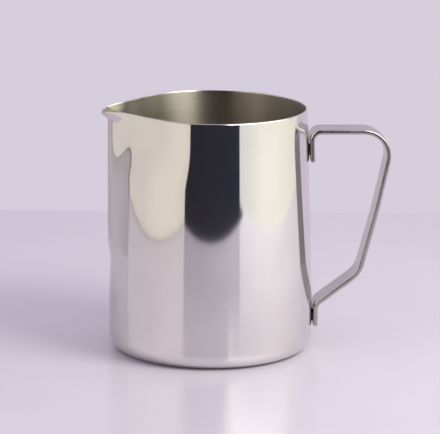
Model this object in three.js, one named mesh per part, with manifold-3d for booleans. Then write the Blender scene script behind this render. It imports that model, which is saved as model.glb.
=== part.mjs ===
// Milk frothing pitcher: a drawn stainless shell with a pressed spout, and a strap handle welded to its wall.
// Millimetres, +Z up. The origin is the middle of the flat base. +X runs to the handle and -X to the spout.

import * as THREE from 'three';
import { mergeVertices } from 'three/addons/utils/BufferGeometryUtils.js';
import Module from 'manifold-3d';

const wasm = await Module();
wasm.setup();

// Shell
const HEIGHT = 107.2;
const BASE_RADIUS = 45;
const MOUTH_RADIUS = 41.9;
const SHEET = 0.9;
const CORNER_RADIUS = 6.5;
const TAPER_START = 14; // the wall is upright up to here
const TAPER_EASE = 24; // and reaches its full lean over this height
const SHELL_SIDES = 60;
const CORNER_STEPS = 4;
const WALL_HEIGHTS = [14, 20, 26, 32, 38, 42, 46, 50, 62, 74, 80, 86, 92, 98, 101.5, 103, 104.5, 106, HEIGHT];

// Spout: a round ridge that stands at one radius, with a lip that curls out and dips at its point
const RIDGE_RADIUS = 45.45;
const RIDGE_ANGLE = THREE.MathUtils.degToRad(16.5); // where the ridge is half as high, at the rim
const FOOT_ANGLE = THREE.MathUtils.degToRad(13);
const RIDGE_FULLNESS = 3.6; // a larger number gives steeper flanks
const SPOUT_FOOT = 39; // the ridge rises out of the wall between these two heights
const SPOUT_SHOULDER = 50;
const LIP_ANGLE = THREE.MathUtils.degToRad(10); // where the lip curls out by half
const LIP_START = 101.5;
const LIP_REACH = 2.75;
const LIP_DIP = 1.7;

// Squeeze: pressing the spout draws the upper wall in on both sides of it
const SQUEEZE_DEPTH = 3.3;
const SQUEEZE_FOOT = 75;
const SQUEEZE_TOP = 99;
const SQUEEZE_FULL = THREE.MathUtils.degToRad(42); // full up to this angle from the spout's middle
const SQUEEZE_END = THREE.MathUtils.degToRad(80);

// Handle strap: a flat bar with rounded edges
const STRAP_WIDTH = 14;
const STRAP_THICKNESS = 2;
const STRAP_EDGE = 0.6;
const ARC_STEP = THREE.MathUtils.degToRad(13);
const TAB_GAP = 0.3;
const UPPER_TAB_END = 83.5;
const LOWER_TAB_END = 9.6;
const ARM_HEIGHT = 96.9; // middle of the level arm
const SHOULDER_X = 79.9; // where the arm and the grip would cross
const GRIP_MIDDLE = { x: 72.6, z: 62 };
const ELBOW = { x: 65.3, z: 33.6 };
const LEG_FOOT_Z = 19.3; // where the leg and the lower tab would cross
const UPPER_BEND_RADIUS = 4;
const SHOULDER_RADIUS = 11;
const GRIP_BOW_RADIUS = 170;
const ELBOW_RADIUS = 12;
const LOWER_BEND_RADIUS = 4.5;

// Welds: two nuggets under each tab, in shallow seats in the strap and in the wall
const NUGGET_RADIUS = 1.8;
const NUGGET_OFFSET = 3.4; // from the strap's middle line
const UPPER_NUGGET_Z = 88.2;
const LOWER_NUGGET_Z = 13.4;
const SEAT_IN_STRAP = 0.8;
const SEAT_IN_WALL = 0.3;
const SEAT_SIDE_PLAY = 0.3;
const SEAT_END_PLAY = 0.1;
const NUGGET_SIDES = 20;

const polishedSteel = new THREE.MeshStandardMaterial({ color: 0xd8d4cc, roughness: 0.08, metalness: 1 });
const satinSteel = new THREE.MeshStandardMaterial({ color: 0xc9c5bf, roughness: 0.3, metalness: 1 });
const weldSteel = new THREE.MeshStandardMaterial({ color: 0x8f8a84, roughness: 0.5, metalness: 1 });

// Radius of the plain wall's outside: upright, then leaning in at an even slope.
function wallRadius(z) {
  const lean = (BASE_RADIUS - MOUTH_RADIUS) / (HEIGHT - TAPER_START - TAPER_EASE / 2);
  const rise = Math.max(0, z - TAPER_START);
  const eased = rise < TAPER_EASE ? rise ** 2 / (2 * TAPER_EASE) : rise - TAPER_EASE / 2;
  return BASE_RADIUS - lean * eased;
}

// Slope of the wall at a height, as an angle from upright.
function wallLean(z) {
  const step = 1;
  return Math.atan((wallRadius(z - step) - wallRadius(z + step)) / (2 * step));
}

// How far the spout and its squeeze move the wall out, and down, at an angle from the spout's middle.
function spoutShift(angle, z) {
  const { clamp, lerp, smootherstep } = THREE.MathUtils;
  const away = Math.abs(angle);
  const width = lerp(FOOT_ANGLE, RIDGE_ANGLE, clamp((z - SPOUT_FOOT) / (HEIGHT - SPOUT_FOOT), 0, 1));
  const ridge = 1 / (1 + (away / width) ** RIDGE_FULLNESS);
  const rise = smootherstep(z, SPOUT_FOOT, SPOUT_SHOULDER);
  const lip = smootherstep(z, LIP_START, HEIGHT) / (1 + (away / LIP_ANGLE) ** RIDGE_FULLNESS);
  const squeeze = SQUEEZE_DEPTH * smootherstep(z, SQUEEZE_FOOT, SQUEEZE_TOP);
  const inward = squeeze * (1 - smootherstep(away, SQUEEZE_FULL, SQUEEZE_END));
  const out = ridge * ((RIDGE_RADIUS - wallRadius(z)) * rise + squeeze) + LIP_REACH * lip;
  return { out: out - inward, down: LIP_DIP * lip };
}

// One side of the sheet, from its edge on the floor up to the rim.
function sheetProfile(inset) {
  const points = [];
  const cornerX = BASE_RADIUS - CORNER_RADIUS;
  for (let i = 0; i <= CORNER_STEPS; i += 1) {
    const turn = (i / CORNER_STEPS) * Math.PI / 2;
    const reach = CORNER_RADIUS - inset;
    points.push(new THREE.Vector2(cornerX + reach * Math.sin(turn), CORNER_RADIUS - reach * Math.cos(turn)));
  }
  for (const z of WALL_HEIGHTS) {
    points.push(new THREE.Vector2(wallRadius(z) - inset, z));
  }
  return points;
}

// Merges a geometry's shared points and drops the slivers left at its poles.
function closedGeometry(geometry) {
  geometry.deleteAttribute('normal');
  geometry.deleteAttribute('uv');
  const merged = mergeVertices(geometry, 1e-4);
  const index = Array.from(merged.getIndex().array);
  const kept = [];
  for (let i = 0; i < index.length; i += 3) {
    const [a, b, c] = index.slice(i, i + 3);
    if (a !== b && b !== c && a !== c) kept.push(a, b, c);
  }
  merged.setIndex(kept);
  return merged;
}

function toManifold(geometry) {
  const closed = closedGeometry(geometry);
  return new wasm.Manifold(new wasm.Mesh({
    numProp: 3,
    vertProperties: Float32Array.from(closed.getAttribute('position').array),
    triVerts: Uint32Array.from(closed.getIndex().array),
  }));
}

function fromManifold(solid) {
  const mesh = solid.getMesh();
  const geometry = new THREE.BufferGeometry();
  geometry.setAttribute('position', new THREE.BufferAttribute(mesh.vertProperties, 3));
  geometry.setIndex(new THREE.BufferAttribute(mesh.triVerts, 1));
  geometry.computeVertexNormals();
  return geometry;
}

function cutAll(geometry, tools) {
  let solid = toManifold(geometry);
  for (const tool of tools) {
    solid = solid.subtract(toManifold(tool));
  }
  return fromManifold(solid);
}

// The two welds under a tab: where each one is, and how the wall leans there.
function tabWelds(z) {
  return [-1, 1].map((side) => {
    const y = side * NUGGET_OFFSET;
    const x = Math.sqrt(wallRadius(z) ** 2 - y ** 2);
    return { side, position: new THREE.Vector3(x, y, z), lean: wallLean(z) };
  });
}

// A short round slug square to the wall, from one depth to another along the wall's outward direction.
function slug(weld, radius, from, to) {
  const geometry = new THREE.CylinderGeometry(radius, radius, to - from, NUGGET_SIDES);
  geometry.rotateZ(-Math.PI / 2);
  geometry.translate((from + to) / 2, 0, 0);
  geometry.rotateY(-weld.lean);
  geometry.translate(weld.position.x, weld.position.y, weld.position.z);
  return geometry;
}

// Distance from the wall at a weld to the strap's near face.
function strapStandOff(weld) {
  return wallRadius(weld.position.z) + TAB_GAP - weld.position.x;
}

function shellGeometry(welds) {
  const outside = sheetProfile(0);
  const inside = sheetProfile(SHEET).reverse();
  const profile = [new THREE.Vector2(0, 0), ...outside, ...inside, new THREE.Vector2(0, SHEET)];
  const geometry = new THREE.LatheGeometry(profile, SHELL_SIDES);
  geometry.rotateX(Math.PI / 2);
  const position = geometry.getAttribute('position');
  for (let i = 0; i < position.count; i += 1) {
    const x = position.getX(i);
    const y = position.getY(i);
    const z = position.getZ(i);
    const radius = Math.hypot(x, y);
    const shift = spoutShift(Math.atan2(y, -x), z);
    const scale = radius > 0 ? (radius + shift.out) / radius : 1;
    position.setXYZ(i, x * scale, y * scale, z - shift.down);
  }
  const depth = STRAP_THICKNESS;
  const seats = welds.map((weld) => slug(weld, NUGGET_RADIUS + SEAT_SIDE_PLAY, -SEAT_IN_WALL, depth));
  return cutAll(geometry, seats);
}

// The strap's middle line as straight runs and round bends: points, each with its direction.
function strapLine() {
  const tabX = (z) => wallRadius(z) + TAB_GAP + STRAP_THICKNESS / 2;
  const corners = [
    { x: tabX(UPPER_TAB_END), z: UPPER_TAB_END, radius: 0 },
    { x: tabX(ARM_HEIGHT), z: ARM_HEIGHT, radius: UPPER_BEND_RADIUS },
    { x: SHOULDER_X, z: ARM_HEIGHT, radius: SHOULDER_RADIUS },
    { ...GRIP_MIDDLE, radius: GRIP_BOW_RADIUS },
    { ...ELBOW, radius: ELBOW_RADIUS },
    { x: tabX(LOWER_TAB_END), z: LEG_FOOT_Z, radius: LOWER_BEND_RADIUS },
    { x: tabX(LOWER_TAB_END), z: LOWER_TAB_END, radius: 0 },
  ].map((corner) => ({ at: new THREE.Vector2(corner.x, corner.z), radius: corner.radius }));
  const directionTo = (i) => corners[i + 1].at.clone().sub(corners[i].at).normalize();
  const line = [{ at: corners[0].at, heading: directionTo(0) }];
  for (let i = 1; i < corners.length - 1; i += 1) {
    line.push(...bend(corners[i], directionTo(i - 1), directionTo(i)));
  }
  line.push({ at: corners.at(-1).at, heading: directionTo(corners.length - 2) });
  return line;
}

// A round bend at a corner, from the incoming to the outgoing direction.
function bend(corner, incoming, outgoing) {
  const turn = Math.atan2(incoming.cross(outgoing), incoming.dot(outgoing));
  const tangent = corner.radius * Math.tan(Math.abs(turn) / 2);
  const start = corner.at.clone().addScaledVector(incoming, -tangent);
  const toCentre = new THREE.Vector2(-incoming.y, incoming.x).multiplyScalar(Math.sign(turn) * corner.radius);
  const centre = start.clone().add(toCentre);
  const steps = Math.max(2, Math.ceil(Math.abs(turn) / ARC_STEP));
  return Array.from({ length: steps + 1 }, (_, i) => ({
    at: start.clone().rotateAround(centre, (turn * i) / steps),
    heading: incoming.clone().rotateAround(new THREE.Vector2(), (turn * i) / steps),
  }));
}

function strapGeometry(welds) {
  const sideOf = (side) => ({ at, heading }) => (
    new THREE.Vector2(-heading.y, heading.x).multiplyScalar(side * STRAP_THICKNESS / 2).add(at)
  );
  const line = strapLine();
  const outline = [...line.map(sideOf(1)), ...line.map(sideOf(-1)).reverse()];
  const geometry = new THREE.ExtrudeGeometry(new THREE.Shape(outline), {
    depth: STRAP_WIDTH - 2 * STRAP_EDGE,
    bevelEnabled: true,
    bevelThickness: STRAP_EDGE,
    bevelSize: STRAP_EDGE,
    bevelOffset: -STRAP_EDGE,
    bevelSegments: 2,
  });
  geometry.rotateX(Math.PI / 2);
  geometry.translate(0, STRAP_WIDTH / 2 - STRAP_EDGE, 0);
  const seats = welds.map((weld) => (
    slug(weld, NUGGET_RADIUS + SEAT_SIDE_PLAY, -STRAP_THICKNESS, strapStandOff(weld) + SEAT_IN_STRAP)
  ));
  return cutAll(geometry, seats);
}

function nuggetGeometry(weld) {
  const from = SEAT_END_PLAY - SEAT_IN_WALL;
  return slug(weld, NUGGET_RADIUS, from, strapStandOff(weld) + SEAT_IN_STRAP - SEAT_END_PLAY);
}

function addMesh(group, name, geometry, material) {
  const mesh = new THREE.Mesh(geometry, material);
  mesh.name = name;
  group.add(mesh);
}

const pitcher = new THREE.Group();
const welds = { upper: tabWelds(UPPER_NUGGET_Z), lower: tabWelds(LOWER_NUGGET_Z) };
const allWelds = Object.values(welds).flat();

addMesh(pitcher, 'pitcher_body', shellGeometry(allWelds), polishedSteel);
addMesh(pitcher, 'handle_strap', strapGeometry(allWelds), satinSteel);
for (const [tab, pair] of Object.entries(welds)) {
  for (const weld of pair) {
    const side = weld.side > 0 ? 'right' : 'left';
    addMesh(pitcher, `weld_nugget_${tab}_${side}`, nuggetGeometry(weld), weldSteel);
  }
}

export default pitcher;
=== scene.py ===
"""Milk frothing pitcher: a polished drawn shell with a pressed spout, and a strap handle welded to its wall.

Metres, +Z up. The origin is the middle of the flat base, +X runs to the handle and -X to the spout.
"""

import logging
import math
from dataclasses import dataclass, field
from enum import Enum
from typing import Any, Iterable, Sequence, Union

import bpy
from mathutils import Euler, Matrix, Vector


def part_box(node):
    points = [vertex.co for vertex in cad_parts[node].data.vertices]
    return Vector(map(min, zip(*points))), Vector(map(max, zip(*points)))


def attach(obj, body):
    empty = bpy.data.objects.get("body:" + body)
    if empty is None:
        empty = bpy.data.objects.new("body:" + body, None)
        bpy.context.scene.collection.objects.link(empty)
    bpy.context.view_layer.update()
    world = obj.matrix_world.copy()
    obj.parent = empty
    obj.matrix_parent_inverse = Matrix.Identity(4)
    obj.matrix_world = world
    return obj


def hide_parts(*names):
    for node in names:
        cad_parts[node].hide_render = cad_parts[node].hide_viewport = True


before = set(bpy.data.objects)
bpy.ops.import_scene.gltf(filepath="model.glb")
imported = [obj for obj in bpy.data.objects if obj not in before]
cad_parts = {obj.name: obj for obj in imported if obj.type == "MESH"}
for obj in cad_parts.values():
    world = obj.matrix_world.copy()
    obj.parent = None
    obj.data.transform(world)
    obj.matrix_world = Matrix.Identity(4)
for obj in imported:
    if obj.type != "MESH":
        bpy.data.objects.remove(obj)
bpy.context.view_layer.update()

MM = 0.001
LOG = logging.getLogger("pitcher")

Number = Union[int, float]
Colour = tuple[float, float, float]
Point = tuple[float, float, float]


class Slot(Enum):
    """Material slot names, which the log reports for each piece."""

    SHELL = "shell_steel"
    STRAP = "strap_steel"
    WELD = "weld_steel"


class Side(Enum):
    """The two sides of the pitcher, seen from the handle. The value is the sign of Y."""

    LEFT = -1
    RIGHT = 1


# ------------------------------------------------------------------------------ shader expressions


class Wire:
    """A shader socket that adds its own maths nodes when it is used in an expression."""

    def __init__(self, sheet: "NodeSheet", socket: bpy.types.NodeSocket) -> None:
        """Wraps a socket.

        Args:
            sheet: the material that the socket is in.
            socket: the output socket to wrap.
        """
        self.sheet = sheet
        self.socket = socket

    def _combine(self, operation: str, *values: Any) -> "Wire":
        """Adds one maths node, on vectors if any value is one.

        Args:
            operation: the node's operation.
            values: wires, numbers or tuples, in the order of the node's inputs.

        Returns:
            The node's result.
        """
        vectors = any(isinstance(v, tuple) or (isinstance(v, Wire) and v.is_vector) for v in values)
        kind = "ShaderNodeVectorMath" if vectors else "ShaderNodeMath"
        return self.sheet.wire(kind, {"operation": operation}, dict(enumerate(values)))

    @property
    def is_vector(self) -> bool:
        """Whether the socket carries a vector."""
        return self.socket.type == "VECTOR"

    def __add__(self, other: Any) -> "Wire":
        """Sum."""
        return self._combine("ADD", self, other)

    def __radd__(self, other: Any) -> "Wire":
        """Sum, with the wire on the right."""
        return self._combine("ADD", other, self)

    def __sub__(self, other: Any) -> "Wire":
        """Difference."""
        return self._combine("SUBTRACT", self, other)

    def __rsub__(self, other: Any) -> "Wire":
        """Difference, with the wire on the right."""
        return self._combine("SUBTRACT", other, self)

    def __mul__(self, other: Any) -> "Wire":
        """Product."""
        return self._combine("MULTIPLY", self, other)

    def __rmul__(self, other: Any) -> "Wire":
        """Product, with the wire on the right."""
        return self._combine("MULTIPLY", other, self)

    def length(self) -> "Wire":
        """Length of a vector."""
        return self.sheet.wire("ShaderNodeVectorMath", {"operation": "LENGTH"}, {0: self}, "Value")

    def ramp(self, low: Number, high: Number) -> "Wire":
        """A smooth step from 0 at one value to 1 at another.

        Args:
            low: the value that gives 0.
            high: the value that gives 1.

        Returns:
            The eased value, held between 0 and 1.
        """
        settings = {"interpolation_type": "SMOOTHSTEP"}
        inputs = {"Value": self, "From Min": low, "From Max": high}
        return self.sheet.wire("ShaderNodeMapRange", settings, inputs)


class NodeSheet:
    """A material's node tree, built from expressions."""

    def __init__(self, name: str) -> None:
        """Starts an empty material.

        Args:
            name: the material's name.
        """
        self.material = bpy.data.materials.new(name)
        self.material.use_nodes = True
        self.tree = self.material.node_tree
        self.tree.nodes.clear()

    def node(self, kind: str, settings: dict[str, Any], inputs: dict[Any, Any]) -> bpy.types.Node:
        """Adds any node.

        Args:
            kind: the node's type.
            settings: its properties, which are set first; "stops" fills a colour ramp.
            inputs: the values or wires of its sockets, by name or number.

        Returns:
            The node.
        """
        made = self.tree.nodes.new(kind)
        for key, value in settings.items():
            if key == "stops":
                self._fill_ramp(made.color_ramp, value)
            else:
                setattr(made, key, value)
        for key, value in inputs.items():
            if isinstance(value, Wire):
                self.tree.links.new(value.socket, made.inputs[key])
            else:
                made.inputs[key].default_value = value
        return made

    def wire(self, kind: str, settings: dict[str, Any], inputs: dict[Any, Any], output: Any = 0) -> Wire:
        """Adds any node and wraps one of its outputs.

        Args:
            kind: the node's type.
            settings: its properties.
            inputs: the values or wires of its sockets.
            output: the output's name or number.

        Returns:
            The output.
        """
        return Wire(self, self.node(kind, settings, inputs).outputs[output])

    @staticmethod
    def _fill_ramp(ramp: bpy.types.ColorRamp, stops: Sequence[tuple[float, Colour]]) -> None:
        """Sets a colour ramp's stops.

        Args:
            ramp: the ramp to fill.
            stops: each stop's place and colour, from low to high.
        """
        while len(ramp.elements) < len(stops):
            ramp.elements.new(1.0)
        for element, (place, colour) in zip(ramp.elements, stops):
            element.position = place
            element.color = (*colour, 1.0)

    def place(self) -> Wire:
        """The point on the piece, in metres in the pitcher's own frame."""
        return self.wire("ShaderNodeTexCoord", {}, {}, "Object")

    def axes(self, vector: Wire) -> tuple[Wire, Wire, Wire]:
        """Splits a vector.

        Args:
            vector: the vector to split.

        Returns:
            Its x, y and z.
        """
        parts = self.node("ShaderNodeSeparateXYZ", {}, {0: vector})
        return tuple(Wire(self, out) for out in parts.outputs)

    def noise(self, where: Wire, scale: Number, detail: Number = 2.0, roughness: Number = 0.5) -> Wire:
        """Soft noise from 0 to 1.

        Args:
            where: the coordinates.
            scale: features per unit of the coordinates.
            detail: how many octaves are added.
            roughness: how strong the finer octaves are.

        Returns:
            The noise.
        """
        inputs = {"Vector": where, "Scale": scale, "Detail": detail, "Roughness": roughness}
        return self.wire("ShaderNodeTexNoise", {}, inputs, "Fac")

    def blend(self, factor: Any, low: Any, high: Any) -> Wire:
        """Mixes two colours.

        Args:
            factor: 0 gives the first and 1 the second.
            low: the first colour, as a wire or three numbers.
            high: the second colour, as a wire or three numbers.

        Returns:
            The mixed colour.
        """
        colours = [c if isinstance(c, Wire) else (*c, 1.0) for c in (low, high)]
        settings = {"data_type": "RGBA"}
        return self.wire("ShaderNodeMix", settings, {0: factor, 6: colours[0], 7: colours[1]}, 2)

    def bump(self, height: Wire, depth: Number) -> Wire:
        """Turns a height from 0 to 1 into a surface normal.

        Args:
            height: the height.
            depth: what a height of 1 is in metres.

        Returns:
            The normal.
        """
        return self.wire("ShaderNodeBump", {}, {"Height": height, "Distance": depth, "Strength": 1.0})

    def metal(self, **sockets: Any) -> bpy.types.Material:
        """Ends the tree in a metal surface.

        Args:
            sockets: the Principled shader's sockets, with underscores for spaces.

        Returns:
            The finished material.
        """
        inputs = {name.replace("_", " "): value for name, value in sockets.items()}
        shader = self.wire("ShaderNodeBsdfPrincipled", {}, {"Metallic": 1.0, **inputs})
        self.node("ShaderNodeOutputMaterial", {}, {"Surface": shader})
        return self.material

    def glow(self, colour: Wire) -> bpy.types.Material:
        """Ends the tree in an even light.

        Args:
            colour: its colour.

        Returns:
            The finished material.
        """
        shader = self.wire("ShaderNodeEmission", {}, {"Color": colour, "Strength": 1.0})
        self.node("ShaderNodeOutputMaterial", {}, {"Surface": shader})
        return self.material


# ---------------------------------------------------------------------------------------- finishes


@dataclass(frozen=True)
class MirrorPolish:
    """The shell's outside: polished bright, with a slight pull in the sheet, a haze, and weld heat marks
    darkened into painted shade by the tabs.
    """

    clean: Colour = (0.80, 0.78, 0.755)
    handled: Colour = (0.765, 0.745, 0.72)
    # Near-black: heat tint at the welds plus painted shade of the crevice where the tabs meet the wall.
    heat_tint_and_crevice_shade: Colour = (0.10, 0.085, 0.075)
    mark_radius: float = 5.6 * MM
    shine: float = 0.045
    haze: float = 0.065
    smudge_scale: float = 45.0
    smudge_limits: tuple[float, float] = (0.42, 0.72)
    line_scale: float = 22.5
    line_stretch: Point = (1.0, 1.0, 40.0)
    line_roughness: float = 0.02
    wave_scale: float = 26.0
    wave_stretch: Point = (1.0, 1.0, 0.55)
    wave_depth: float = 0.05 * MM

    def make(self, welds: Iterable[Point]) -> bpy.types.Material:
        """Builds the material.

        Args:
            welds: where the welds are.

        Returns:
            The material.
        """
        sheet = NodeSheet("mirror_polish")
        place = sheet.place()
        smudge = sheet.noise(place, self.smudge_scale, detail=4.0, roughness=0.55).ramp(*self.smudge_limits)
        lines = sheet.noise(place * self.line_stretch, self.line_scale, detail=3.0)
        wave = sheet.noise(place * self.wave_stretch, self.wave_scale, detail=1.0)
        # The weld marks reach past the tabs' edges and paint the crevice's shade onto the wall around them.
        mark = weld_mask(sheet, place, welds, self.mark_radius)
        return sheet.metal(
            Base_Color=sheet.blend(mark, sheet.blend(smudge, self.clean, self.handled), self.heat_tint_and_crevice_shade),
            Roughness=self.shine + smudge * (self.haze - self.shine) + lines * self.line_roughness,
            Normal=sheet.bump(wave, self.wave_depth),
        )


@dataclass(frozen=True)
class SatinInside:
    """The shell's inside: brushed round and round, with faint marks where the handle is welded on."""

    light: Colour = (0.60, 0.565, 0.49)
    dark: Colour = (0.46, 0.43, 0.36)
    tint: Colour = (0.50, 0.40, 0.24)
    roughness: float = 0.35
    streak_roughness: float = 0.1
    brushing: float = 0.9
    brushing_turn: float = 0.25
    streak_scale: float = 14.0
    streak_stretch: Point = (1.0, 1.0, 170.0)
    broad_stretch: Point = (1.0, 1.0, 9.0)
    streak_depth: float = 0.004 * MM
    mark_radius: float = 3.4 * MM
    mark_strength: float = 0.55

    def make(self, welds: Iterable[Point]) -> bpy.types.Material:
        """Builds the material.

        Args:
            welds: where the welds are.

        Returns:
            The material.
        """
        sheet = NodeSheet("satin_inside")
        place = sheet.place()
        streaks = sheet.noise(place * self.streak_stretch, self.streak_scale, detail=5.0, roughness=0.65)
        broad = sheet.noise(place * self.broad_stretch, self.streak_scale, detail=3.0)
        mark = weld_mask(sheet, place, welds, self.mark_radius)
        steel = sheet.blend((streaks * 0.7 + broad * 0.3).ramp(0.3, 0.7), self.dark, self.light)
        return sheet.metal(
            Base_Color=sheet.blend(mark * self.mark_strength, steel, self.tint),
            Roughness=self.roughness + streaks * self.streak_roughness,
            Anisotropic=self.brushing,
            Anisotropic_Rotation=self.brushing_turn,
            Normal=sheet.bump(streaks, self.streak_depth),
        )


@dataclass(frozen=True)
class TrimmedEdge:
    """The sheet's cut edge at the rim: tumbled smooth and a little brighter than the inside."""

    bright: Colour = (0.86, 0.84, 0.80)
    worn: Colour = (0.74, 0.72, 0.68)
    roughness: float = 0.12
    grain_roughness: float = 0.1
    grain_scale: float = 500.0
    grain_depth: float = 0.01 * MM

    def make(self) -> bpy.types.Material:
        """Builds the material."""
        sheet = NodeSheet("trimmed_edge")
        grain = sheet.noise(sheet.place(), self.grain_scale, detail=3.0)
        return sheet.metal(
            Base_Color=sheet.blend(grain.ramp(0.4, 0.7), self.bright, self.worn),
            Roughness=self.roughness + grain * self.grain_roughness,
            Normal=sheet.bump(grain, self.grain_depth),
        )


@dataclass(frozen=True)
class StrapPolish:
    """The handle's finish: softly polished along its length, with heat marks at the welds."""

    bright: Colour = (0.50, 0.48, 0.47)
    dull: Colour = (0.43, 0.41, 0.405)
    tint: Colour = (0.16, 0.12, 0.09)
    roughness: float = 0.13
    line_roughness: float = 0.08
    line_scale: float = 40.0
    line_stretch: Point = (1.0, 60.0, 1.0)
    smudge_scale: float = 120.0
    mark_radius: float = 4.4 * MM
    mark_roughness: float = 0.15

    def make(self, welds: Iterable[Point]) -> bpy.types.Material:
        """Builds the material.

        Args:
            welds: where the welds are.

        Returns:
            The material.
        """
        sheet = NodeSheet("strap_polish")
        place = sheet.place()
        lines = sheet.noise(place * self.line_stretch, self.line_scale, detail=4.0, roughness=0.6)
        smudge = sheet.noise(place, self.smudge_scale, detail=3.0)
        mark = weld_mask(sheet, place, welds, self.mark_radius)
        steel = sheet.blend((lines * 0.6 + smudge * 0.4).ramp(0.35, 0.65), self.bright, self.dull)
        return sheet.metal(
            Base_Color=sheet.blend(mark, steel, self.tint),
            Roughness=self.roughness + lines * self.line_roughness + mark * self.mark_roughness,
        )


@dataclass(frozen=True)
class FusedWeld:
    """A weld nugget: dull fused steel with straw and blue heat colours."""

    steel: Colour = (0.10, 0.095, 0.09)
    straw: Colour = (0.14, 0.10, 0.06)
    blue: Colour = (0.06, 0.065, 0.10)
    roughness: float = 0.45
    grain_roughness: float = 0.2
    grain_scale: float = 900.0
    grain_depth: float = 0.03 * MM
    heat_scale: float = 380.0

    def make(self) -> bpy.types.Material:
        """Builds the material."""
        sheet = NodeSheet("fused_weld")
        grain = sheet.noise(sheet.place(), self.grain_scale, detail=4.0)
        heat = sheet.noise(sheet.place(), self.heat_scale, detail=1.0)
        warm = sheet.blend(heat.ramp(0.35, 0.55), self.steel, self.straw)
        return sheet.metal(
            Base_Color=sheet.blend(heat.ramp(0.55, 0.75), warm, self.blue),
            Roughness=self.roughness + grain * self.grain_roughness,
            Normal=sheet.bump(grain, self.grain_depth),
        )


@dataclass(frozen=True)
class TableFinish:
    """The plain pale table top, with a soft polish."""

    colour: Colour = (0.69, 0.66, 0.72)
    cloud_shade: float = 0.96
    cloud_scale: float = 7.0
    roughness: float = 0.25

    def make(self) -> bpy.types.Material:
        """Builds the material."""
        sheet = NodeSheet("table_top")
        cloud = sheet.noise(sheet.place(), self.cloud_scale, detail=3.0)
        shade = tuple(c * self.cloud_shade for c in self.colour)
        return sheet.metal(
            Metallic=0.0,
            Base_Color=sheet.blend(cloud.ramp(0.35, 0.65), shade, self.colour),
            Roughness=self.roughness,
        )


def weld_mask(sheet: NodeSheet, place: Wire, welds: Iterable[Point], radius: float) -> Wire:
    """A mask of soft round marks.

    Args:
        sheet: the material.
        place: the point on the piece.
        welds: the middle of each mark.
        radius: where a mark ends.

    Returns:
        1 in the middle of a mark and 0 outside.
    """
    mask = None
    for weld in welds:
        mark = 1 - (place - weld).length().ramp(0.0, radius)
        mask = mark if mask is None else mask + mark
    return mask


# ------------------------------------------------------------------------------------------ meshes


def bell(distance: float, half: float) -> float:
    """1 in the middle, falling to 0 at the half width, smooth at both.

    Args:
        distance: how far from the middle.
        half: the half width.

    Returns:
        The height of the bell.
    """
    if abs(distance) >= half:
        return 0.0
    return math.cos(distance / half * math.pi / 2) ** 2


def smooth(value: float, low: float, high: float) -> float:
    """An eased step whose slope and curvature start and end at 0.

    Args:
        value: where to read the step.
        low: the value that gives 0.
        high: the value that gives 1.

    Returns:
        The step's height, from 0 to 1.
    """
    t = min(max((value - low) / (high - low), 0.0), 1.0)
    return t * t * t * (t * (t * 6 - 15) + 10)


def spread(low: float, high: float, steps: int) -> list[float]:
    """Even values from one number to another, with both ends.

    Args:
        low: the first value.
        high: the last value.
        steps: the number of steps.

    Returns:
        The values.
    """
    return [low + (high - low) * i / steps for i in range(steps + 1)]


def skin(name: str, rings: Sequence[Sequence[Point]], bands: Sequence[int]) -> bpy.types.Object:
    """Makes a smooth closed mesh through rings of points, with its two ends closed.

    Args:
        name: the piece's name.
        rings: the rings, each with the same number of points.
        bands: the material number of each band of faces between two rings.

    Returns:
        The piece.
    """
    count = len(rings[0])
    points = [point for ring in rings for point in ring]
    faces, numbers = [], []
    for row, band in enumerate(bands):
        for i in range(count):
            j = (i + 1) % count
            faces.append((row * count + i, row * count + j, (row + 1) * count + j, (row + 1) * count + i))
            numbers.append(band)
    for ring, order, band in ((0, -1, bands[0]), (len(rings) - 1, 1, bands[-1])):
        middle = sum((Vector(p) for p in rings[ring]), Vector()) / count
        points.append(tuple(middle))
        hub = len(points) - 1
        for i in range(count):
            edge = (ring * count + i, ring * count + (i + 1) % count)
            faces.append((hub, *edge[::order]))
            numbers.append(band)
    mesh = bpy.data.meshes.new(name)
    mesh.from_pydata(points, [], faces)
    mesh.polygons.foreach_set("material_index", numbers)
    mesh.polygons.foreach_set("use_smooth", [True] * len(faces))
    mesh.validate()
    piece = bpy.data.objects.new(name, mesh)
    bpy.context.scene.collection.objects.link(piece)
    return piece


def register(piece: bpy.types.Object, slot: Slot, *nodes: str) -> None:
    """Ties a piece to the pitcher's body and reports it.

    Args:
        piece: the piece.
        slot: the material slot name, which is only logged.
        nodes: the CAD nodes that it stands for.
    """
    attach(piece, "root")
    if nodes:
        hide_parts(*nodes)
    LOG.info("%s: %d faces, finish %s", piece.name, len(piece.data.polygons), slot.value)


# -------------------------------------------------------------------------------------- assemblies


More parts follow.
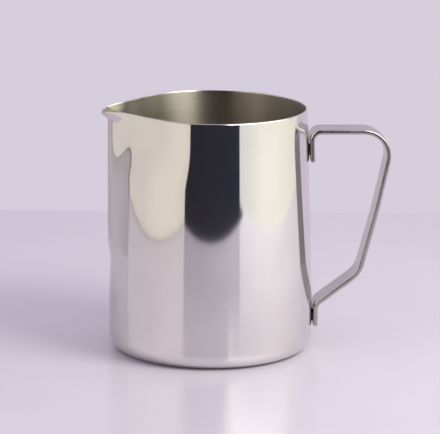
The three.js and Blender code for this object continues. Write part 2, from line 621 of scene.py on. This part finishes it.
@dataclass
class PitcherShell:
    """The drawn shell: a flat base, a round corner, a wall that leans in, and a pressed spout."""

    node: str = "pitcher_body"
    base_radius: float = 45.0 * MM
    mouth_radius: float = 41.9 * MM
    sheet: float = 0.9 * MM
    corner_radius: float = 6.5 * MM
    taper_middle: float = 26.0 * MM
    taper_ease: float = 6.0 * MM
    ridge_radius: float = 45.45 * MM
    ridge_angle: float = math.radians(16.5)
    foot_angle: float = math.radians(13)
    ridge_fullness: float = 3.6
    spout_foot: float = 39.0 * MM
    spout_shoulder: float = 50.0 * MM
    lip_angle: float = math.radians(10)
    lip_start: float = 101.5 * MM
    lip_reach: float = 2.75 * MM
    lip_dip: float = 1.7 * MM
    squeeze_depth: float = 3.3 * MM
    squeeze_foot: float = 75.0 * MM
    squeeze_top: float = 99.0 * MM
    squeeze_full: float = math.radians(42)
    squeeze_end: float = math.radians(80)
    sides: int = 288
    row_step: float = 1.1 * MM
    base_rings: int = 7
    corner_rings: int = 14
    rim_rings: int = 8
    hub_share: float = 0.1
    height: float = field(init=False)

    def __post_init__(self) -> None:
        """Reads the height from the frame."""
        self.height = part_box(self.node)[1][2]

    def wall_radius(self, z: float) -> float:
        """Radius of the plain wall's outside.

        Args:
            z: the height.

        Returns:
            The radius.
        """
        lean = (self.base_radius - self.mouth_radius) / (self.height - self.taper_middle)
        eased = self.taper_ease * math.log1p(math.exp((z - self.taper_middle) / self.taper_ease))
        return self.base_radius - lean * eased

    def spout_shift(self, angle: float, z: float) -> tuple[float, float]:
        """How far the spout and its squeeze move the wall.

        Args:
            angle: the angle from the spout's middle.
            z: the height.

        Returns:
            How far out, and how far down.
        """
        away = abs(angle)
        share = min(max((z - self.spout_foot) / (self.height - self.spout_foot), 0.0), 1.0)
        width = self.foot_angle + (self.ridge_angle - self.foot_angle) * share
        ridge = 1 / (1 + (away / width) ** self.ridge_fullness)
        rise = smooth(z, self.spout_foot, self.spout_shoulder)
        squeeze = self.squeeze_depth * smooth(z, self.squeeze_foot, self.squeeze_top)
        inward = squeeze * (1 - smooth(away, self.squeeze_full, self.squeeze_end))
        curl = smooth(z, self.lip_start, self.height)
        curl /= 1 + (away / self.lip_angle) ** self.ridge_fullness
        out = ridge * ((self.ridge_radius - self.wall_radius(z)) * rise + squeeze) + self.lip_reach * curl
        return out - inward, self.lip_dip * curl

    def ring(self, radius: float, z: float) -> list[Point]:
        """One ring of the shell, with the spout pressed into it.

        Args:
            radius: the plain ring's radius.
            z: its height.

        Returns:
            The ring's points.
        """
        points = []
        for i in range(self.sides):
            turn = 2 * math.pi * i / self.sides
            angle = math.remainder(turn - math.pi, 2 * math.pi)
            out, down = self.spout_shift(angle, z)
            points.append(((radius + out) * math.cos(turn), (radius + out) * math.sin(turn), z - down))
        return points

    def side_profile(self, inset: float) -> list[tuple[float, float]]:
        """One side of the sheet, from near the axis to just under the rim.

        Args:
            inset: the depth under the outside.

        Returns:
            Radius and height of each row.
        """
        flat = self.base_radius - self.corner_radius
        reach = self.corner_radius - inset
        hub = flat * self.hub_share
        rows = [(r, self.corner_radius - reach) for r in spread(hub, flat, self.base_rings)[:-1]]
        for turn in spread(0.0, math.pi / 2, self.corner_rings):
            rows.append((flat + reach * math.sin(turn), self.corner_radius - reach * math.cos(turn)))
        top = self.height - self.sheet / 2
        steps = round((top - self.corner_radius) / self.row_step)
        for z in spread(self.corner_radius, top, steps)[1:]:
            rows.append((self.wall_radius(z) - inset, z))
        return rows

    def rim_profile(self) -> list[tuple[float, float]]:
        """The rounded edge of the sheet, from outside to inside."""
        half = self.sheet / 2
        centre = self.wall_radius(self.height - half) - half
        turns = spread(0.0, math.pi, self.rim_rings)[1:-1]
        return [(centre + half * math.cos(t), self.height - half + half * math.sin(t)) for t in turns]

    def build(self, welds: Sequence[Point]) -> bpy.types.Object:
        """Makes and dresses the shell.

        Args:
            welds: the welds on the wall.

        Returns:
            The shell.
        """
        outside = self.side_profile(0.0)
        rim = self.rim_profile()
        inside = self.side_profile(self.sheet)[::-1]
        rings = [self.ring(radius, z) for radius, z in (*outside, *rim, *inside)]
        bands = [0] * (len(outside) - 1) + [1] * (len(rim) + 1) + [2] * (len(inside) - 1)
        piece = skin("polished_shell", rings, bands)
        for finish in (MirrorPolish().make(welds), TrimmedEdge().make(), SatinInside().make(welds)):
            piece.data.materials.append(finish)
        register(piece, Slot.SHELL, self.node)
        return piece


@dataclass
class HandleStrap:
    """The handle: a flat bar with rounded edges, bent into an ear and flattened where it is welded."""

    shell: PitcherShell
    node: str = "handle_strap"
    width: float = 14.0 * MM
    thickness: float = 2.0 * MM
    edge_radius: float = 0.6 * MM
    tab_gap: float = 0.3 * MM
    upper_tab_end: float = 83.5 * MM
    lower_tab_end: float = 9.6 * MM
    arm_height: float = 96.9 * MM
    shoulder_x: float = 79.895 * MM
    grip_middle: tuple[float, float] = (72.6 * MM, 62.0 * MM)
    elbow: tuple[float, float] = (65.3 * MM, 33.6 * MM)
    leg_foot_z: float = 19.3 * MM
    upper_bend: float = 4.0 * MM
    shoulder_bend: float = 11.0 * MM
    grip_bow: float = 170.0 * MM
    elbow_bend: float = 12.0 * MM
    lower_bend: float = 4.5 * MM
    end_rounding: float = 0.7 * MM
    run_step: float = 0.45 * MM
    arc_step: float = math.radians(4)
    face_steps: int = 26
    corner_steps: int = 5
    end_steps: int = 4
    weld_offset: float = 3.4 * MM
    weld_heights: tuple[float, float] = (88.2 * MM, 13.4 * MM)
    dimple_radius: float = 2.3 * MM
    dimple_depth: float = 0.16 * MM

    def tab_x(self, z: float) -> float:
        """Where the middle of a tab is at a height."""
        return self.shell.wall_radius(z) + self.tab_gap + self.thickness / 2

    def welds(self) -> list[Point]:
        """The middle of each weld's mark, on the wall."""
        return [
            (self.shell.wall_radius(z), side.value * self.weld_offset, z)
            for z in self.weld_heights
            for side in Side
        ]

    def corners(self) -> list[tuple[Vector, float]]:
        """The corners of the middle line, each with the radius of its bend."""
        lower_x = self.tab_x(self.lower_tab_end)
        return [
            (Vector((self.tab_x(self.upper_tab_end), self.upper_tab_end)), 0.0),
            (Vector((self.tab_x(self.arm_height), self.arm_height)), self.upper_bend),
            (Vector((self.shoulder_x, self.arm_height)), self.shoulder_bend),
            (Vector(self.grip_middle), self.grip_bow),
            (Vector(self.elbow), self.elbow_bend),
            (Vector((lower_x, self.leg_foot_z)), self.lower_bend),
            (Vector((lower_x, self.lower_tab_end)), 0.0),
        ]

    def middle_line(self) -> list[tuple[Vector, Vector]]:
        """The middle line as close points, each with its direction."""
        corners = self.corners()
        first, _ = corners[0]
        line, last = [(first, (corners[1][0] - first).normalized())], first
        for (before, _), (corner, radius), (after, _) in zip(corners, corners[1:], corners[2:]):
            incoming, outgoing = (corner - before).normalized(), (after - corner).normalized()
            turn = incoming.angle_signed(outgoing)
            reach = radius * math.tan(abs(turn) / 2)
            start = corner - incoming * reach
            line += self._run(last, start)
            side = math.copysign(1.0, turn)
            for part in spread(0.0, turn, max(2, math.ceil(abs(turn) / self.arc_step))):
                heading = self._turned(incoming, part)
                square = Vector((incoming.y, -incoming.x)) * side
                centre = start + square * radius
                line.append((centre - self._turned(square, part) * radius, heading))
            last = line[-1][0]
        end, _ = corners[-1]
        line += self._run(last, end)
        line.append((end, (end - last).normalized()))
        return line

    @staticmethod
    def _turned(vector: Vector, angle: float) -> Vector:
        """A flat vector turned clockwise.

        Args:
            vector: the vector.
            angle: the angle.

        Returns:
            The turned vector.
        """
        c, s = math.cos(angle), math.sin(angle)
        return Vector((vector.x * c + vector.y * s, vector.y * c - vector.x * s))

    def _run(self, start: Vector, end: Vector) -> list[tuple[Vector, Vector]]:
        """A straight run without its two ends.

        Args:
            start: where the run starts.
            end: where it ends.

        Returns:
            The points with their direction.
        """
        heading = (end - start).normalized()
        steps = max(1, round((end - start).length / self.run_step))
        return [(start.lerp(end, share), heading) for share in spread(0.0, 1.0, steps)[1:-1]]

    def section(self) -> list[tuple[float, float]]:
        """The bar's section: a flat rectangle with rounded corners, as offsets across and through it."""
        reach, half = self.width / 2 - self.edge_radius, self.thickness / 2 - self.edge_radius
        points = []
        for quarter, (across, through) in enumerate(((1, 1), (-1, 1), (-1, -1), (1, -1))):
            for part in spread(0.0, math.pi / 2, self.corner_steps):
                turn = quarter * math.pi / 2 + part
                points.append((
                    across * reach + self.edge_radius * math.cos(turn),
                    through * half + self.edge_radius * math.sin(turn),
                ))
            if quarter in (0, 2):
                face = points[-1][1]
                points += [(across * y, face) for y in spread(reach, -reach, self.face_steps)[1:-1]]
        return points

    def dimple(self, y: float, z: float) -> float:
        """Depth of the weld dimples on the outer face of a tab.

        Args:
            y: the place across the strap.
            z: the height.

        Returns:
            The depth.
        """
        return sum(
            self.dimple_depth * bell(math.hypot(y - wy, z - wz), self.dimple_radius)
            for _, wy, wz in self.welds()
        )

    def ring(self, at: Vector, heading: Vector, shrink: float) -> list[Point]:
        """One ring of the strap.

        Args:
            at: the middle.
            heading: the direction of the strap.
            shrink: how far the ring is drawn in from the full section.

        Returns:
            The ring's points.
        """
        normal = Vector((-heading.y, heading.x))
        points = []
        for across, through in self.section():
            y = across - math.copysign(min(shrink, abs(across)), across)
            t = through - math.copysign(min(shrink, abs(through)), through)
            z = at.y + normal.y * t
            outer = through * normal.x > 0 and at.x < self.tab_x(self.lower_tab_end) + self.thickness
            sink = abs(normal.x) * self.dimple(y, z) if outer else 0.0
            points.append((at.x + normal.x * t - sink, y, z))
        return points

    def build(self) -> bpy.types.Object:
        """Makes and dresses the strap."""
        line = self.middle_line()
        rings = [self.ring(at, heading, 0.0) for at, heading in line[2:-2]]
        for end, step in ((0, 1), (-1, -1)):
            at, heading = line[end]
            inward = heading * step
            cap = []
            for turn in spread(0.0, math.pi / 2, self.end_steps):
                back = self.end_rounding * (1 - math.cos(turn))
                cap.append(self.ring(at + inward * back, heading, self.end_rounding * (1 - math.sin(turn))))
            rings = cap + rings if end == 0 else rings + cap[::-1]
        piece = skin("strap_handle", rings, [0] * (len(rings) - 1))
        piece.data.materials.append(StrapPolish().make(self.welds()))
        register(piece, Slot.STRAP, self.node)
        return piece


@dataclass
class WeldNuggets:
    """The four nuggets between the tabs and the wall, which keep their CAD shape."""

    prefix: str = "weld_nugget_"

    def build(self) -> None:
        """Dresses the nuggets."""
        finish = FusedWeld().make()
        for name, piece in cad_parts.items():
            if name.startswith(self.prefix):
                for material_slot in piece.material_slots:
                    material_slot.material = finish
                LOG.info("%s: dressed, finish %s", name, Slot.WELD.value)


# ------------------------------------------------------------------------------------------ studio


@dataclass(frozen=True)
class Viewpoint:
    """The camera: a long lens, a little above the rim, almost square to the handle."""

    distance: float = 1.099
    height: float = 0.3084
    swing: float = math.radians(3.0)
    yaw: float = math.radians(0.21)
    dip: float = math.radians(12.84)
    roll: float = math.radians(0.5)
    lens: float = 209.8
    sensor_width: float = 36.0

    def place(self, right: float, away: float, z: float) -> Vector:
        """A point in the studio.

        Args:
            right: how far to the right of the pitcher, as the camera sees it.
            away: how far behind it.
            z: the height.

        Returns:
            The point in the pitcher's frame.
        """
        c, s = math.cos(self.swing), math.sin(self.swing)
        return Vector((right * c + away * s, away * c - right * s, z))

    def build(self) -> None:
        """Makes the camera."""
        data = bpy.data.cameras.new("camera")
        data.lens = self.lens
        data.sensor_width = self.sensor_width
        camera = bpy.data.objects.new("camera", data)
        camera.location = self.place(0.0, -self.distance, self.height)
        level = Euler((math.pi / 2 - self.dip, 0.0, -(self.swing + self.yaw))).to_matrix()
        camera.rotation_euler = (level @ Matrix.Rotation(self.roll, 3, "Z")).to_euler()
        bpy.context.scene.collection.objects.link(camera)
        bpy.context.scene.camera = camera


class Glow(Enum):
    """How the cards glow: stops with their place along the card and their colour."""

    WARM = (
        (0.0, (0.80, 0.72, 0.66)),
        (0.15, (0.88, 0.80, 0.73)),
        (0.45, (0.86, 0.79, 0.73)),
        (0.7, (0.77, 0.72, 0.68)),
        (1.0, (0.76, 0.70, 0.68)),
    )
    BROWN = (
        (0.0, (0.42, 0.30, 0.22)),
        (0.4, (0.40, 0.29, 0.22)),
        (0.8, (0.20, 0.15, 0.12)),
        (1.0, (0.16, 0.12, 0.10)),
    )
    BRIGHT = (
        (0.0, (0.84, 0.87, 0.85)),
        (0.12, (0.90, 0.92, 0.88)),
        (0.3, (1.08, 1.07, 0.99)),
        (0.5, (1.11, 1.08, 0.99)),
        (0.75, (1.0, 0.98, 0.88)),
        (1.0, (0.9, 0.87, 0.78)),
    )
    WINDOW = (
        (0.0, (3.2, 3.15, 2.9)),
        (0.32, (3.4, 3.35, 3.1)),
        (0.58, (2.9, 2.8, 2.5)),
        (0.76, (2.4, 2.35, 2.1)),
        (0.81, (0.25, 0.24, 0.2)),
        (0.93, (0.3, 0.28, 0.24)),
        (1.0, (1.7, 1.65, 1.5)),
    )
    DARK = (
        (0.0, (0.016, 0.014, 0.016)),
        (0.25, (0.026, 0.024, 0.03)),
        (0.6, (0.03, 0.03, 0.045)),
        (1.0, (0.034, 0.036, 0.06)),
    )
    GREY = ((0.0, (0.46, 0.42, 0.455)), (0.4, (0.56, 0.51, 0.56)), (1.0, (0.42, 0.38, 0.42)))
    TRIM = ((0.0, (0.09, 0.065, 0.07)), (1.0, (0.09, 0.065, 0.07)))
    FOOT = ((0.0, (0.34, 0.30, 0.29)), (0.5, (0.26, 0.22, 0.22)), (1.0, (0.16, 0.125, 0.13)))
    SEAM = ((0.0, (0.03, 0.03, 0.05)), (0.5, (0.10, 0.10, 0.15)), (1.0, (0.03, 0.03, 0.05)))


@dataclass(frozen=True)
class Card:
    """An upright card that shows only in the steel and in the table's polish.

    It stands round the pitcher, from one bearing to another. Bearings are in degrees to the right, counted
    from the side that the camera is on. Distances are from the pitcher's axis to the card's two ends.
    """

    name: str
    bearings: tuple[float, float]
    distances: tuple[float, float]
    heights: tuple[float, float]
    glow: Glow

    def finish(self, view: Viewpoint) -> bpy.types.Material:
        """Makes the card's glow, which changes with the bearing.

        Args:
            view: the viewpoint that bearings count from.

        Returns:
            The material.
        """
        sheet = NodeSheet(self.name)
        x, y, _ = sheet.axes(sheet.place())
        bearing = sheet.wire("ShaderNodeMath", {"operation": "ARCTAN2"}, {0: x, 1: 0 - y})
        first, last = (math.radians(b) - view.swing for b in self.bearings)
        share = (bearing - first) * (1 / (last - first))
        return sheet.glow(sheet.wire("ShaderNodeValToRGB", {"stops": self.glow.value}, {0: share}))

    def build(self, view: Viewpoint) -> None:
        """Makes the card.

        Args:
            view: the viewpoint that bearings count from.
        """
        low, high = self.heights
        ends = []
        for bearing, distance in zip(self.bearings, self.distances):
            turn = math.radians(bearing)
            ends.append((distance * math.sin(turn), -distance * math.cos(turn)))
        plan = [(*ends[0], low), (*ends[1], low), (*ends[1], high), (*ends[0], high)]
        mesh = bpy.data.meshes.new(self.name)
        mesh.from_pydata([tuple(view.place(*corner)) for corner in plan], [], [(0, 1, 2, 3)])
        mesh.materials.append(self.finish(view))
        card = bpy.data.objects.new(self.name, mesh)
        card.visible_camera = card.visible_diffuse = card.visible_shadow = False
        bpy.context.scene.collection.objects.link(card)


@dataclass(frozen=True)
class Lamp:
    """A soft square lamp that doesn't show in the steel. Places are how far right, away and up."""

    name: str
    spot: Point
    aim: Point
    size: float
    watts: float
    colour: Colour = (1.0, 0.965, 0.93)

    def build(self, view: Viewpoint) -> None:
        """Makes the lamp.

        Args:
            view: the viewpoint that places count from.
        """
        data = bpy.data.lights.new(self.name, "AREA")
        data.size = self.size
        data.energy = self.watts
        data.color = self.colour
        lamp = bpy.data.objects.new(self.name, data)
        lamp.location = view.place(*self.spot)
        lamp.rotation_euler = (view.place(*self.aim) - lamp.location).to_track_quat("-Z", "Y").to_euler()
        lamp.visible_camera = lamp.visible_glossy = False
        bpy.context.scene.collection.objects.link(lamp)


@dataclass
class Studio:
    """The table, the cards and lamps round it, and the pale room."""

    view: Viewpoint = field(default_factory=Viewpoint)
    table_front: float = 0.397
    table_back: float = 0.267
    table_side: float = 1.2
    table_thickness: float = 0.03
    room: Colour = (0.672, 0.617, 0.723)

    def table(self) -> None:
        """Makes the table top."""
        x, front, back, deep = self.table_side, -self.table_front, self.table_back, -self.table_thickness
        plan = [(-x, front), (x, front), (x, back), (-x, back)]
        points = [tuple(self.view.place(*p, z)) for z in (deep, 0.0) for p in plan]
        sides = [(i, (i + 1) % 4, (i + 1) % 4 + 4, i + 4) for i in range(4)]
        mesh = bpy.data.meshes.new("table_top")
        mesh.from_pydata(points, [], [(3, 2, 1, 0), (4, 5, 6, 7), *sides])
        mesh.materials.append(TableFinish().make())
        table = bpy.data.objects.new("table_top", mesh)
        bpy.context.scene.collection.objects.link(table)

    def cards(self) -> list[Card]:
        """The cards: warm on the left, bright on the right, dark between them, and grey at the back left."""
        left, right = (0.46, 0.44), (0.56, 0.52)
        return [
            Card("left_card", (-28.6, -102.5), left, (0.001, 0.285), Glow.WARM),
            Card("left_card_foot", (-28.6, -102.5), left, (-0.006, 0.001), Glow.FOOT),
            Card("left_card_high", (-46, -102.5), left, (0.285, 0.88), Glow.BROWN),
            Card("left_card_edge", (-102.5, -103.8), (0.44, 0.44), (-0.006, 0.55), Glow.TRIM),
            Card("back_card", (-100.3, -148), (0.25, 0.26), (-0.004, 0.25), Glow.GREY),
            Card("right_card", (31.9, 118), right, (-0.004, 0.13), Glow.BRIGHT),
            Card("right_card_high", (20, 118), (0.50, 0.46), (0.13, 0.93), Glow.WINDOW),
            Card("dark_card", (-60, 60), (0.95, 0.95), (-0.6, 2.6), Glow.DARK),
            Card("dark_card_seam", (6.2, 8.2), (0.93, 0.93), (-0.075, -0.03), Glow.SEAM),
        ]

    def lamps(self) -> list[Lamp]:
        """The lamps: one over the front right, and a weak one for the table there."""
        return [
            Lamp("key_lamp", (0.55, -0.35, 0.6), (0.0, 0.0, 0.0), 0.4, 4.5),
            Lamp("table_lamp", (0.40, -0.18, 0.42), (0.32, -0.16, 0.0), 0.2, 0.2),
        ]

    def world(self) -> None:
        """Fills the room with even pale light."""
        world = bpy.data.worlds.new("room")
        world.use_nodes = True
        background = world.node_tree.nodes["Background"]
        background.inputs["Color"].default_value = (*self.room, 1.0)
        background.inputs["Strength"].default_value = 1.0
        bpy.context.scene.world = world

    def build(self) -> None:
        """Makes the studio."""
        self.view.build()
        self.table()
        for thing in (*self.cards(), *self.lamps()):
            thing.build(self.view)
        self.world()
        bpy.context.scene.view_settings.view_transform = "Standard"


def main() -> None:
    """Builds the studio, the shell, the handle and the welds."""
    logging.basicConfig(level=logging.INFO, format="%(name)s: %(message)s")
    Studio().build()
    shell = PitcherShell()
    strap = HandleStrap(shell)
    shell.build(strap.welds())
    strap.build()
    WeldNuggets().build()


if __name__ == "__main__":
    main()
